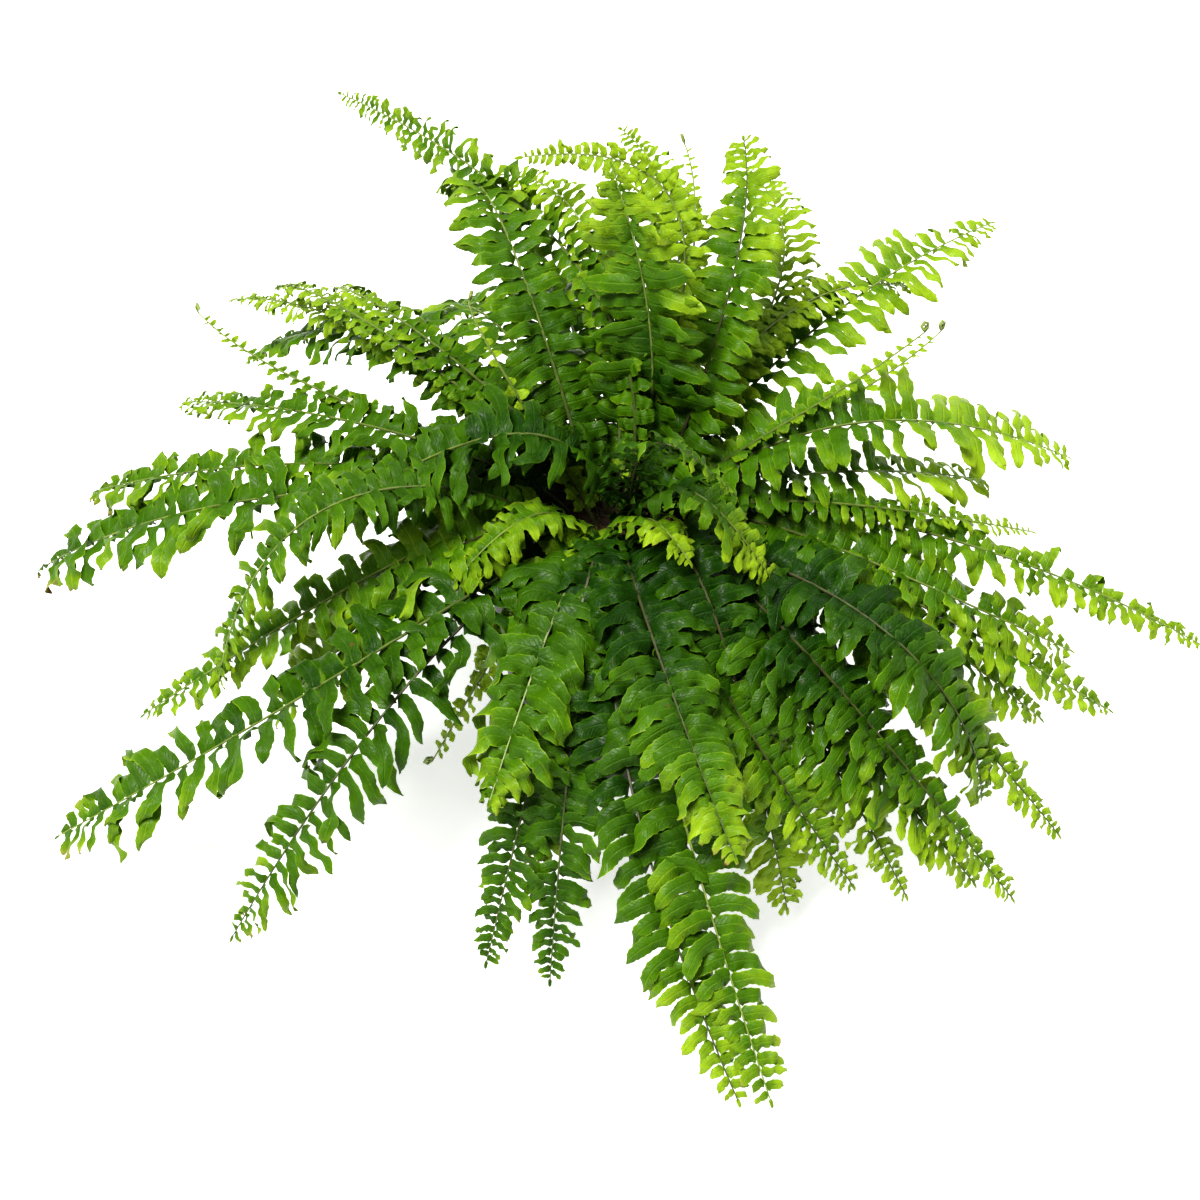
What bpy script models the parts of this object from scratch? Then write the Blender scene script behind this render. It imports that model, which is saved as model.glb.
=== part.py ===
# A sword fern in a plain round nursery pot that stands on its base.
# Metres, +Z up. The origin is the centre of the pot's underside, and -Y is the side a viewer stands on.
import collections
import itertools
import math

import bmesh
import bpy
from mathutils import Vector
from mathutils.bvhtree import BVHTree

# Pot
POT_HEIGHT = 0.165
POT_BASE_RADIUS = 0.070
POT_TOP_RADIUS = 0.095
POT_WALL = 0.0025
RIM_DEPTH = 0.028
RIM_STEP = 0.004
POT_SIDES = 32
DRAIN_HOLES = 6
DRAIN_RADIUS = 0.005
DRAIN_RING = 0.048

# Soil and crown
CLEARANCE = 0.0003
SOIL_DEPTH = 0.015
SOIL_RISE = 0.005
SOIL_RINGS = (0.074, 0.060)
SOIL_BUMP = 0.0011
CROWN_RADIUS = 0.050
CROWN_RINGS = (0.050, 0.0395, 0.0200)
CROWN_SINK = 0.0145
CROWN_RISE = 0.010
CROWN_SIDES = 24
GROUND = POT_HEIGHT - SOIL_DEPTH + SOIL_RISE

# Stalks: how many stand in each ring of the crown, from the middle out, and the ring's radius
RINGS = ((2, 0.006), (9, 0.0155), (13, 0.025), (16, 0.0345), (17, 0.044))
STALK_SPACING = 0.0085
STALK_DEPTH = 0.008
STALK_EXIT = 0.003
STALK_SPRING = 0.050
STALK_SLOPE = math.radians(62)
STALK_RADIUS = 0.0013
RIB_TIP_RADIUS = 0.0005
BARE_STALK = 0.17
RIB_STEPS = 60
SKY_TURN = 0.5

# Leaflets: their outline as shares of length or spacing, and how they may bend or shrink to stay clear
LEAFLET_WIDTH = 0.76
NEAR_SHOULDER = 0.62
FAR_SHOULDER = 0.56
LEAFLET_THICKNESS = 0.0012
LEAFLET_HOOK = 0.12
LEAFLET_DROOP = 0.22
LEAFLET_SWEEP = (math.radians(10), math.radians(38))
LEAFLET_LIFTS = (0.10, 0.30, -0.08, 0.50, -0.26, 0.72, -0.45, 0.95)
LEAFLET_SHARES = (1.0, 0.85, 0.7, 0.55, 0.4, 0.28, 0.2)
LEAFLET_GUARD = 0.0009
LOWEST_LEAF = 0.003
SMALL_LEAFLET = 0.008
RIB_GUARD = 0.0008

# Young tips
CURL_RADIUS = 0.0055
CURL_TURNS = 1.15
CURL_CLOSING = 0.62
CURL_STEPS = 8

# The fronds, each with its heading in degrees from +X, then in millimetres how far and how high its tip
# reaches, how far along the reach its arch stands in per cent, the height of the arch over the crown and its
# sideways sway to the left, and then the length of its longest leaflets in millimetres and its pairs of leaflets.
Frond = collections.namedtuple("Frond", "heading reach height lean arch sway leaflet pairs")
ROWS = {
    "back_1": (121, 375, 280, 0, 180, -60, 30, 10),
    "back_2": (115, 150, 350, 50, 215, -170, 22, 10),
    "back_3": (116, 235, 275, 55, 225, 20, 38, 9),
    "back_4": (113, 200, 305, 50, 185, -55, 22, 8),
    "back_5": (96, 65, 390, 50, 100, -35, 42, 9),
    "back_6": (90, 230, 310, 50, 145, -75, 26, 8),
    "back_7": (78, 195, 325, 50, 160, -35, 14, 8),
    "back_8": (64, 175, 350, 50, 170, -45, 36, 9),
    "back_9": (72, 280, 255, 50, 115, -115, 30, 9),
    "back_10": (136, 135, 270, 60, 135, 40, 14, 6),
    "back_11": (70, 300, 105, 50, 85, 30, 40, 8),
    "back_12": (98, 310, 105, 55, 130, 30, 42, 8),
    "back_13": (117, 285, 130, 55, 120, 20, 40, 8),
    "right_1": (41, 330, 245, 47, 105, 0, 42, 11),
    "right_2": (42, 285, 205, 45, 150, 15, 22, 9),
    "right_3": (18, 200, 270, 55, 90, -35, 13, 6),
    "right_4": (28, 235, 235, 55, 60, -35, 12, 6),
    "right_5": (8, 290, 185, 45, 120, -5, 42, 10),
    "right_6": (9, 235, 170, 55, 70, -40, 40, 8),
    "right_7": (-2, 260, 165, 45, 65, -40, 20, 8),
    "right_8": (-8, 375, 105, 60, 50, -30, 30, 10),
    "right_9": (-13, 290, 115, 50, 45, -50, 40, 9),
    "right_10": (-16, 320, 85, 50, 40, -50, 24, 8),
    "right_11": (-20, 280, 85, 55, 40, -35, 26, 8),
    "right_12": (-35, 270, 75, 95, 65, -10, 52, 10),
    "right_13": (-31, 315, 50, 50, 40, -15, 30, 8),
    "right_14": (-41, 315, 40, 50, 60, -50, 30, 8),
    "right_15": (-42, 290, 40, 55, 40, -50, 42, 9),
    "right_16": (-49, 265, 35, 55, 55, -30, 34, 8),
    "right_17": (-55, 245, 45, 60, 42, -60, 36, 8),
    "front_1": (-64, 230, 30, 50, 108, -8, 40, 8),
    "front_2": (-76, 265, 130, 30, 64, -26, 42, 8),
    "front_3": (-76, 353, 15, 38, 42, -38, 46, 12),
    "front_4": (-79, 348, 14, 44, 22, -61, 42, 11),
    "front_5": (-100, 255, 15, 57, 45, 0, 36, 9),
    "front_6": (-109, 255, 20, 54, 49, 19, 34, 9),
    "front_7": (-111, 221, 125, 43, 62, 6, 44, 8),
    "front_8": (-105, 212, 54, 49, 94, 9, 30, 7),
    "front_9": (-134, 170, 75, 50, 75, 40, 14, 6),
    "left_1": (-136, 330, 30, 60, 50, 30, 44, 10),
    "left_2": (-156, 385, 42, 36, 60, 94, 40, 10),
    "left_3": (-163, 315, 85, 40, 52, 34, 26, 9),
    "left_4": (-158, 235, 80, 48, 72, 20, 42, 8),
    "left_5": (-158, 270, 120, 80, 165, -10, 30, 9),
    "left_6": (175, 380, 100, 60, 70, 38, 48, 11),
    "left_7": (168, 355, 130, 53, 60, 25, 38, 9),
    "left_8": (156, 320, 160, 55, 85, 55, 34, 9),
    "left_9": (150, 325, 210, 60, 60, 60, 14, 9),
    "left_10": (140, 350, 175, 53, 110, 20, 22, 8),
    "left_11": (137, 320, 190, 58, 145, 70, 16, 8),
    "left_12": (135, 270, 210, 57, 130, 55, 24, 8),
    "left_13": (138, 345, 120, 55, 115, 5, 36, 9),
    "left_14": (-175, 200, 172, 15, 148, 5, 50, 9),
    "inner_1": (-140, 135, 190, 55, 85, 15, 32, 7),
    "inner_2": (-68, 105, 218, 55, 85, -15, 28, 6),
    "inner_3": (-44, 125, 195, 50, 130, -30, 28, 6),
    "inner_4": (-53, 110, 260, 60, 200, -60, 24, 7),
}
FRONDS = {name: Frond(*row) for name, row in ROWS.items()}
YOUNG = ("back_7", "back_10", "right_3", "right_4", "left_9", "front_9")


def material(name, colour, roughness):
    """A plain Principled material."""
    found = bpy.data.materials.new(name)
    found.use_nodes = True
    shader = found.node_tree.nodes["Principled BSDF"]
    shader.inputs["Base Color"].default_value = (*colour, 1)
    shader.inputs["Roughness"].default_value = roughness
    found.diffuse_color = (*colour, 1)
    return found


def make_object(name, bm, surface, smooth=True):
    """Puts a bmesh into the scene as one object with one material."""
    bmesh.ops.recalc_face_normals(bm, faces=bm.faces)
    mesh = bpy.data.meshes.new(name)
    bm.to_mesh(mesh)
    bm.free()
    mesh.materials.append(surface)
    if smooth:
        mesh.shade_smooth()
        mesh.set_sharp_from_angle(angle=math.radians(35))
    made = bpy.data.objects.new(name, mesh)
    bpy.context.scene.collection.objects.link(made)
    return made


def turned(profile, sides):
    """A closed solid turned round +Z from a profile of (radius, height) that starts and ends on the axis."""
    bm = bmesh.new()
    points = [bm.verts.new((radius, 0, height)) for radius, height in profile]
    edges = [bm.edges.new(pair) for pair in zip(points, points[1:])]
    bmesh.ops.spin(
        bm, geom=points + edges, cent=(0, 0, 0), axis=(0, 0, 1), angle=math.tau, steps=sides, use_merge=True
    )
    bmesh.ops.remove_doubles(bm, verts=bm.verts, dist=0.00001)
    return bm


def cut(target, cutters):
    """Cuts every cutter from the target at once, and removes the cutters."""
    group = bpy.data.collections.new(target.name + "_cutters")
    bpy.context.scene.collection.children.link(group)
    for cutter in cutters:
        bpy.context.scene.collection.objects.unlink(cutter)
        group.objects.link(cutter)
        cutter.hide_render = True
        cutter.display_type = "WIRE"
    holes = target.modifiers.new("holes", "BOOLEAN")
    holes.operation = "DIFFERENCE"
    holes.operand_type = "COLLECTION"
    holes.collection = group
    graph = bpy.context.evaluated_depsgraph_get()
    cut_mesh = bpy.data.meshes.new_from_object(target.evaluated_get(graph))
    target.modifiers.clear()
    target.data = cut_mesh
    for cutter in cutters:
        bpy.data.objects.remove(cutter)
    bpy.data.collections.remove(group)


def make_pot():
    """The pot: a tapered wall with a deeper rim band, and drain holes through its floor."""
    slope = (POT_TOP_RADIUS - RIM_STEP - POT_BASE_RADIUS) / POT_HEIGHT
    band = POT_HEIGHT - RIM_DEPTH
    foot = 0.002
    lip = 0.0015
    profile = [
        (0, 0),
        (POT_BASE_RADIUS - foot, 0),
        (POT_BASE_RADIUS, foot),
        (POT_BASE_RADIUS + slope * band, band),
        (POT_TOP_RADIUS - lip, band + lip),
        (POT_TOP_RADIUS, POT_HEIGHT - lip),
        (POT_TOP_RADIUS - lip, POT_HEIGHT),
        (POT_TOP_RADIUS - RIM_STEP - POT_WALL + lip, POT_HEIGHT),
        (inner_radius(POT_HEIGHT - lip), POT_HEIGHT - lip),
        (inner_radius(POT_WALL), POT_WALL),
        (0, POT_WALL),
    ]
    pot = make_object("pot", turned(profile, POT_SIDES), material("pot", (0.020, 0.021, 0.022), 0.5))
    drains = []
    for number in range(DRAIN_HOLES):
        angle = math.tau * (number + 0.5) / DRAIN_HOLES
        bm = bmesh.new()
        bmesh.ops.create_cone(
            bm, cap_ends=True, segments=8, radius1=DRAIN_RADIUS, radius2=DRAIN_RADIUS, depth=4 * POT_WALL
        )
        centre = (DRAIN_RING * math.cos(angle), DRAIN_RING * math.sin(angle), POT_WALL / 2)
        bmesh.ops.translate(bm, verts=bm.verts, vec=centre)
        drains.append(make_object(f"drain_{number}", bm, pot.data.materials[0]))
    cut(pot, drains)
    return pot


def inner_radius(height):
    """The pot's inner radius at a height."""
    slope = (POT_TOP_RADIUS - RIM_STEP - POT_BASE_RADIUS) / POT_HEIGHT
    return POT_BASE_RADIUS - POT_WALL + slope * height


def make_soil():
    """Soil that fills the pot, with a round recess for the crown."""
    bottom = POT_WALL + CLEARANCE
    edge = GROUND - SOIL_RISE
    recess = CROWN_RADIUS + CLEARANCE
    outer, inner = SOIL_RINGS
    profile = [
        (0, bottom),
        (inner_radius(bottom) - CLEARANCE, bottom),
        (inner_radius(edge) - CLEARANCE, edge),
        (outer, edge + 0.5 * SOIL_RISE),
        (inner, edge + 0.9 * SOIL_RISE),
        (recess, GROUND),
        (recess, GROUND - CROWN_SINK - CLEARANCE),
        (0, GROUND - CROWN_SINK - CLEARANCE),
    ]
    bm = turned(profile, POT_SIDES)
    for vert in bm.verts:
        radius = math.hypot(vert.co.x, vert.co.y)
        if min(abs(radius - ring) for ring in SOIL_RINGS) < CLEARANCE:
            angle = math.atan2(vert.co.y, vert.co.x)
            vert.co.z += SOIL_BUMP * (math.sin(5 * angle + 60 * radius) + 0.6 * math.sin(9 * angle + 2))
    return make_object("soil", bm, material("soil", (0.030, 0.020, 0.014), 0.95))


def crown_height(radius):
    """Height of the crown's dome at a radius."""
    return GROUND + CROWN_RISE * (1 - (radius / CROWN_RADIUS) ** 2)


def make_crown(stalks):
    """The rootstock: a low mound sunk in the soil, with a plain hole for each stalk."""
    profile = [(0, GROUND - CROWN_SINK), (CROWN_RADIUS, GROUND - CROWN_SINK)]
    profile += [(radius, crown_height(radius)) for radius in CROWN_RINGS]
    profile.append((0, crown_height(0)))
    surface = material("crown", (0.055, 0.030, 0.014), 0.9)
    crown = make_object("crown", turned(profile, CROWN_SIDES), surface)
    holes = []
    for number, stalk in enumerate(stalks):
        bm = bmesh.new()
        reach = STALK_RADIUS + CLEARANCE * math.sqrt(2)
        rings = []
        for along in (-STALK_DEPTH - CLEARANCE, STALK_DEPTH):
            centre = stalk["base"] + along * stalk["aim"]
            rings.append([bm.verts.new(corner) for corner in diamond(centre, stalk["side"], stalk["face"], reach)])
        bmesh.ops.contextual_create(bm, geom=rings[0])
        bmesh.ops.contextual_create(bm, geom=rings[1])
        for corner in range(4):
            after = (corner + 1) % 4
            bm.faces.new((rings[0][corner], rings[0][after], rings[1][after], rings[1][corner]))
        holes.append(make_object(f"hole_{number}", bm, surface, smooth=False))
    cut(crown, holes)
    return crown


def diamond(centre, side, face, reach):
    """The four corners of a stalk's section: its upper face, right, back and left."""
    return (centre + reach * face, centre + reach * side, centre - reach * face, centre - reach * side)


def tip_of(frond):
    """Where a frond's tip is."""
    angle = math.radians(frond.heading)
    return Vector((frond.reach * math.cos(angle), frond.reach * math.sin(angle), frond.height)) / 1000


def stalk_places():
    """Gives each frond its place in the crown: flat fronds in the outer rings, each near its own heading."""

    def flatness(name):
        frond = FRONDS[name]
        return frond.reach * frond.lean / frond.arch

    def heading(name):
        return math.radians(FRONDS[name].heading)

    order = sorted(FRONDS, key=flatness)
    places = {}
    for count, radius in RINGS:
        members = sorted(order[:count], key=heading)
        order = order[count:]
        angles = [heading(name) for name in members]
        gap = min(STALK_SPACING / radius, 0.98 * math.tau / count)
        for _ in range(200):
            for first in range(count):
                after = (first + 1) % count
                turn = math.tau if after == 0 else 0
                lack = gap - (angles[after] + turn - angles[first])
                if lack > 0:
                    angles[first] -= lack / 2
                    angles[after] += lack / 2
        for name, angle in zip(members, angles):
            places[name] = Vector((radius * math.cos(angle), radius * math.sin(angle), crown_height(radius)))
    return places


def rib_line(frond, base):
    """Points along a frond's rib, its first direction, and the width and face directions at each point."""
    tip = tip_of(frond)
    out = Vector((tip.x - base.x, tip.y - base.y, 0))
    left = Vector((-out.y, out.x, 0)).normalized()
    arch, sway = frond.arch / 1000, frond.sway / 1000
    peak = base + frond.lean / 100 * out + sway * left + Vector((0, 0, arch))
    flat = Vector((peak.x - base.x, peak.y - base.y, 0))
    slope = max(STALK_SLOPE, math.atan2(arch, flat.length))
    aim = flat.normalized() * math.cos(slope) + Vector((0, 0, math.sin(slope)))
    spring = base + STALK_SPRING * aim
    points = []
    for step in range(RIB_STEPS + 1):
        t = step / RIB_STEPS
        u = 1 - t
        points.append(u**3 * base + 3 * t * u**2 * spring + 3 * t**2 * u * peak + t**3 * tip)
    side = flat.normalized().cross(Vector((0, 0, 1)))
    frames = frames_along(points, side)
    return points, aim, frames


def frames_along(points, side):
    """Direction, width and face at each point, carried along without twist and turned partly to the sky."""
    frames = []
    for step, point in enumerate(points):
        before = points[max(step - 1, 0)]
        after = points[min(step + 1, len(points) - 1)]
        ahead = (after - before).normalized()
        side = (side - side.dot(ahead) * ahead).normalized()
        face = side.cross(ahead)
        sky = Vector((0, 0, 1)) - ahead.z * ahead
        turned_face = (face + SKY_TURN * step / len(points) * sky).normalized()
        frames.append((ahead, ahead.cross(turned_face), turned_face))
    return frames


def curl_tip(points, frames):
    """Lengthens a young frond's rib by a flat coil that rolls towards its upper face."""
    start = points[-1]
    ahead, side, face = frames[-1]
    centre = start + CURL_RADIUS * face
    points, frames = list(points), list(frames)
    for step in range(1, CURL_STEPS + 1):
        angle = math.tau * CURL_TURNS * step / CURL_STEPS
        radius = CURL_RADIUS * (1 - CURL_CLOSING * step / CURL_STEPS)
        points.append(centre + radius * (math.sin(angle) * ahead - math.cos(angle) * face))
        new_ahead = math.cos(angle) * ahead + math.sin(angle) * face
        frames.append((new_ahead, side, side.cross(new_ahead)))
    return points, frames


class Rib:
    """A frond's rib, read at any distance from the crown."""

    def __init__(self, points, frames, coiled):
        if coiled:
            self.points, self.frames = curl_tip(points, frames)
        else:
            self.points, self.frames = points, frames
        self.coiled = coiled
        self.marks = [0.0]
        for before, after in zip(self.points, self.points[1:]):
            self.marks.append(self.marks[-1] + (after - before).length)
        self.length = self.marks[-1]
        self.leafy = self.marks[len(points) - 1]

    def at(self, distance):
        """The point and the frame there."""
        distance = min(max(distance, 0), self.length)
        after = 1
        while self.marks[after] < distance and after < len(self.marks) - 1:
            after += 1
        part = (distance - self.marks[after - 1]) / (self.marks[after] - self.marks[after - 1])
        point = self.points[after - 1].lerp(self.points[after], part)
        frame = [a.lerp(b, part).normalized() for a, b in zip(self.frames[after - 1], self.frames[after])]
        return point, frame

    def radius(self, distance):
        """The rib tapers from the stalk to the tip."""
        return STALK_RADIUS + (RIB_TIP_RADIUS - STALK_RADIUS) * distance / self.length


def leaflet_size(part):
    """Leaflet length along a frond as a share of its longest leaflets."""
    rising = min(1, 0.55 + 1.9 * part)
    falling = 1 if part < 0.45 else 1 - 0.86 * ((part - 0.45) / 0.55) ** 1.9
    return rising * falling


def leaflet_points(rib, place, spacing, hand, length, lift, fat=0.0):
    """The outline and the two ridge points of one leaflet, on the side that hand gives."""
    root, (ahead, side, face) = rib.at(place)
    first, last = LEAFLET_SWEEP
    sweep = first + (last - first) * place / rib.length
    out = hand * math.cos(sweep) * side + math.sin(sweep) * ahead
    half = LEAFLET_WIDTH * spacing / 2

    def spot(along, across):
        hook = LEAFLET_HOOK * length * along**2
        rise = lift * along - LEAFLET_DROOP * along**2
        return root + along * length * out + (across + hook) * ahead + rise * length * face

    near = spot(NEAR_SHOULDER, -half)
    far = spot(FAR_SHOULDER, half)
    middle = spot(0.5, 0)
    normal = (near - root).cross(far - root).normalized()
    if normal.dot(face) < 0:
        normal = -normal
    thick = LEAFLET_THICKNESS / 2 + fat
    return near, spot(1, 0), far, middle + thick * normal, middle - thick * normal


def notch(rib, place, after, hand):
    """The point at the rib's edge midway between two leaflets, on the straight line that joins their roots."""
    point = rib.at(place)[0].lerp(rib.at(after)[0], 0.5)
    distance = (place + after) / 2
    return point + hand * rib.radius(distance) * rib.at(distance)[1][1]


def leaflet_faces(near_notch, far_notch, top, under, leaflet):
    """The triangles of one leaflet, alike on both faces: corners as points."""
    near, tip, far, ridge, keel = leaflet
    outline = [top, near_notch, near, tip, far, far_notch]
    upper = [(ridge, outline[k], outline[(k + 1) % 6]) for k in range(6)]
    outline[0] = under
    lower = [(keel, outline[(k + 1) % 6], outline[k]) for k in range(6)]
    return upper + lower


def stations(rib, pairs):
    """Distances of the leaflet pairs along a rib, and the spacing of the pairs."""
    bare = BARE_STALK * rib.leafy
    spacing = (rib.leafy - bare) / (pairs + 0.55)
    return [bare + spacing * (k + 0.5) for k in range(pairs)], spacing


def ridge_points(rib, distance):
    """The points on the upper and lower side of the rib."""
    point, (_, _, face) = rib.at(distance)
    reach = rib.radius(distance)
    return point + reach * face, point - reach * face


def outer_half(leaflet):
    """The triangles of a leaflet that don't touch the rib."""
    near, tip, far, ridge, keel = leaflet
    return [(ridge, near, tip), (ridge, tip, far), (keel, tip, near), (keel, far, tip)]


class Obstacles:
    """What the leaflets have to stay clear of, with the frond that each triangle belongs to."""

    def __init__(self):
        self.points, self.triangles, self.owners, self.tree = [], [], [], None

    def add(self, triangles, owner):
        for triangle in triangles:
            first = len(self.points)
            self.points.extend(triangle)
            self.triangles.append((first, first + 1, first + 2))
            self.owners.append(owner)
        self.tree = None

    def meets(self, triangles, owner):
        """Whether any of the triangles crosses something that isn't the owner's."""
        if self.tree is None:
            self.tree = BVHTree.FromPolygons(self.points, self.triangles)
        points = [corner for triangle in triangles for corner in triangle]
        own = BVHTree.FromPolygons(points, [(3 * k, 3 * k + 1, 3 * k + 2) for k in range(len(triangles))])
        return any(self.owners[theirs] != owner for theirs, _ in self.tree.overlap(own))


def rib_guard(rib):
    """A loose tube round a rib, which other fronds' leaflets keep clear of."""
    count = 24
    rings = []
    for step in range(count + 1):
        distance = rib.length * step / count
        point, (_, side, face) = rib.at(distance)
        rings.append(diamond(point, side, face, rib.radius(distance) + RIB_GUARD))
    triangles = []
    for ring, after in zip(rings, rings[1:]):
        for k in range(4):
            j = (k + 1) % 4
            triangles += [(ring[k], ring[j], after[j]), (ring[k], after[j], after[k])]
    return triangles


def triangles_of(made):
    """A finished object's triangles as points."""
    made.data.calc_loop_triangles()
    corners = made.data.vertices
    return [tuple(corners[k].co.copy() for k in loop.vertices) for loop in made.data.loop_triangles]


def choose_leaflet(rib, place, spacing, hand, length, notches, others, own, name):
    """Bends, and if need be shortens, a leaflet until it is clear of other pieces and of its own frond."""
    top, under = ridge_points(rib, place)
    for share, lift in itertools.product(LEAFLET_SHARES, LEAFLET_LIFTS):
        size = share * length
        test = leaflet_points(rib, place, spacing, hand, size, lift, fat=LEAFLET_GUARD)
        if min(point.z for point in test) < LOWEST_LEAF:
            continue
        if size > SMALL_LEAFLET and own.meets(outer_half(test), None):
            continue
        if not others.meets(leaflet_faces(*notches, top, under, test), name):
            break
    return leaflet_points(rib, place, spacing, hand, size, lift)


def make_frond(name, frond, rib, stalk, obstacles, surface):
    """One frond: stalk, rib and leaflets in one closed mesh."""
    bm = bmesh.new()
    corner = bm.verts.new
    pairs, spacing = stations(rib, frond.pairs)
    bare = pairs[0] - spacing / 2

    rings = []
    root = stalk["base"] - STALK_DEPTH * stalk["aim"]
    rings.append([corner(spot) for spot in diamond(root, stalk["side"], stalk["face"], STALK_RADIUS)])
    for distance in (STALK_EXIT, 0.5 * (STALK_EXIT + bare), bare):
        point, (_, side, face) = rib.at(distance)
        rings.append([corner(spot) for spot in diamond(point, side, face, rib.radius(distance))])
    bm.faces.new(reversed(rings[0]))
    for ring, after in zip(rings, rings[1:]):
        join_rings(bm, ring, after)

    top, right, under, left = rings[-1]
    edges = {1: right, -1: left}
    own = Obstacles()
    own.add(rib_guard(rib), name)
    for place, after in zip(pairs, pairs[1:] + [pairs[-1] + spacing]):
        new_top, new_under = (corner(spot) for spot in ridge_points(rib, place))
        size = frond.leaflet / 1000 * leaflet_size((place - bare) / (rib.length - bare))
        for hand in (1, -1):
            bm.faces.new((top, edges[hand], new_top))
            bm.faces.new((under, new_under, edges[hand]))
            far_notch = corner(notch(rib, place, after, hand))
            notches = (edges[hand].co, far_notch.co)
            leaflet = choose_leaflet(rib, place, spacing, hand, size, notches, obstacles, own, name)
            corners = [corner(spot) for spot in leaflet]
            triangles = leaflet_faces(edges[hand], far_notch, new_top, new_under, corners)
            for triangle in triangles:
                bm.faces.new(triangle)
            own.add([tuple(vert.co for vert in triangle) for triangle in triangles], name)
            edges[hand] = far_notch
        top, under = new_top, new_under
    close_tip(bm, rib, [top, edges[1], under, edges[-1]], pairs[-1] + spacing / 2)
    bmesh.ops.triangulate(bm, faces=bm.faces)
    return make_object(name, bm, surface)


def close_tip(bm, rib, ring, distance):
    """Ends a rib in a point, after its coil if the frond is young."""
    if rib.coiled:
        for step in range(1, CURL_STEPS):
            along = distance + (rib.length - distance) * step / CURL_STEPS
            point, (_, side, face) = rib.at(along)
            after = [bm.verts.new(spot) for spot in diamond(point, side, face, rib.radius(along))]
            join_rings(bm, ring, after)
            ring = after
    end = bm.verts.new(rib.at(rib.length)[0])
    for k in range(4):
        bm.faces.new((ring[k], ring[(k + 1) % 4], end))


def join_rings(bm, ring, after):
    """Walls between two sections of a stalk."""
    for k in range(4):
        j = (k + 1) % 4
        bm.faces.new((ring[k], ring[j], after[j], after[k]))


def main():
    for old in list(bpy.data.objects):
        bpy.data.objects.remove(old)
    stalks, ribs = {}, {}
    for name, base in stalk_places().items():
        points, aim, frames = rib_line(FRONDS[name], base)
        _, side, face = frames[0]
        stalks[name] = {"base": base, "aim": aim, "side": side, "face": face}
        ribs[name] = Rib(points, frames, name in YOUNG)

    pot = make_pot()
    soil = make_soil()
    crown = make_crown(stalks.values())
    obstacles = Obstacles()
    for made in (pot, soil, crown):
        obstacles.add(triangles_of(made), made.name)
    for name, rib in ribs.items():
        obstacles.add(rib_guard(rib), name)
    leaf = material("leaf", (0.12, 0.27, 0.035), 0.45)
    for name, frond in FRONDS.items():
        made = make_frond(name, frond, ribs[name], stalks[name], obstacles, leaf)
        obstacles.add(triangles_of(made), name)


main()
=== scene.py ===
# Potted sword fern: the finished fronds, crown, soil and nursery pot round the fixed frame.
import math
import random
from collections import namedtuple

import bmesh
import bpy
from mathutils import Matrix, Vector, noise


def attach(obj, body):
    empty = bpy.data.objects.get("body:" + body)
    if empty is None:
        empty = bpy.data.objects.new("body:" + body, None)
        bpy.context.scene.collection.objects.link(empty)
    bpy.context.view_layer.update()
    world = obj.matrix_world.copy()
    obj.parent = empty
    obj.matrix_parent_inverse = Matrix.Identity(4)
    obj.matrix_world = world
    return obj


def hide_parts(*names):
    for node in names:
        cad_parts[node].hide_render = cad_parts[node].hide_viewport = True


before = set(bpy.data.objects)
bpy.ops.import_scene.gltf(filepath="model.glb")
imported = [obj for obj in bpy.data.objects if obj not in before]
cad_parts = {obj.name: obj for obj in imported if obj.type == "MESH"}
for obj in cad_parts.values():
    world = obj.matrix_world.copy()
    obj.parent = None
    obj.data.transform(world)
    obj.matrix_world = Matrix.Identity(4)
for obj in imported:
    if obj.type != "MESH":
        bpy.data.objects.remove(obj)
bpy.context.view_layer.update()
up = Vector((0, 0, 1))
print("frame loaded:", len(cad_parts), "nodes")


def turned(first, second, angle):  # from the first direction towards the second
    return math.cos(angle) * first + math.sin(angle) * second


def polar(radius, angle, height):
    return Vector((radius * math.cos(angle), radius * math.sin(angle), height))


def along(pair, part):  # starts at the pair's first number and gains the second one up to the end
    return pair[0] + pair[1] * part


# Camera, lights and floor

viewSet = {
    "target": (-0.014, 0.0, 0.099), "distance": 1.9, "elevation": 42, "lens": 87.7, "sensor": 36,
    "farthest": 30,
}

lightSet = {
    "key": {"from": (-0.35, -0.30, 1.0), "spread": 26, "strength": 5.0, "tint": (1.0, 0.99, 0.965)},
    "back": {"from": (0.45, 0.60, 0.80), "spread": 50, "strength": 1.3, "tint": (1.0, 1.0, 1.0)},
    "sky": {"tint": (1.0, 1.0, 1.0), "strength": 0.22},
}

floorSet = {
    "radius": 7.0, "sides": 96, "colour": (0.80, 0.80, 0.79), "speckle": (0.77, 0.77, 0.76),
    "speckleScale": 3.0, "roughness": 0.9,
    "glow": 0.58,  # painted light: the floor glows, as a lit table would, and keeps the shadows on it pale
}


def addObject(name, data):
    made = bpy.data.objects.new(name, data)
    bpy.context.scene.collection.objects.link(made)
    return made


def aimAt(thing, target):
    thing.rotation_mode = "QUATERNION"
    thing.rotation_quaternion = (Vector(target) - thing.location).to_track_quat("-Z", "Y")


def makeCamera():
    data = bpy.data.cameras.new("camera")
    data.lens = viewSet["lens"]
    data.sensor_width = viewSet["sensor"]
    data.clip_end = viewSet["farthest"]
    camera = addObject("camera", data)
    angle = math.radians(viewSet["elevation"])
    back = Vector((0, -math.cos(angle), math.sin(angle)))
    camera.location = Vector(viewSet["target"]) + viewSet["distance"] * back
    aimAt(camera, viewSet["target"])
    bpy.context.scene.camera = camera


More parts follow.
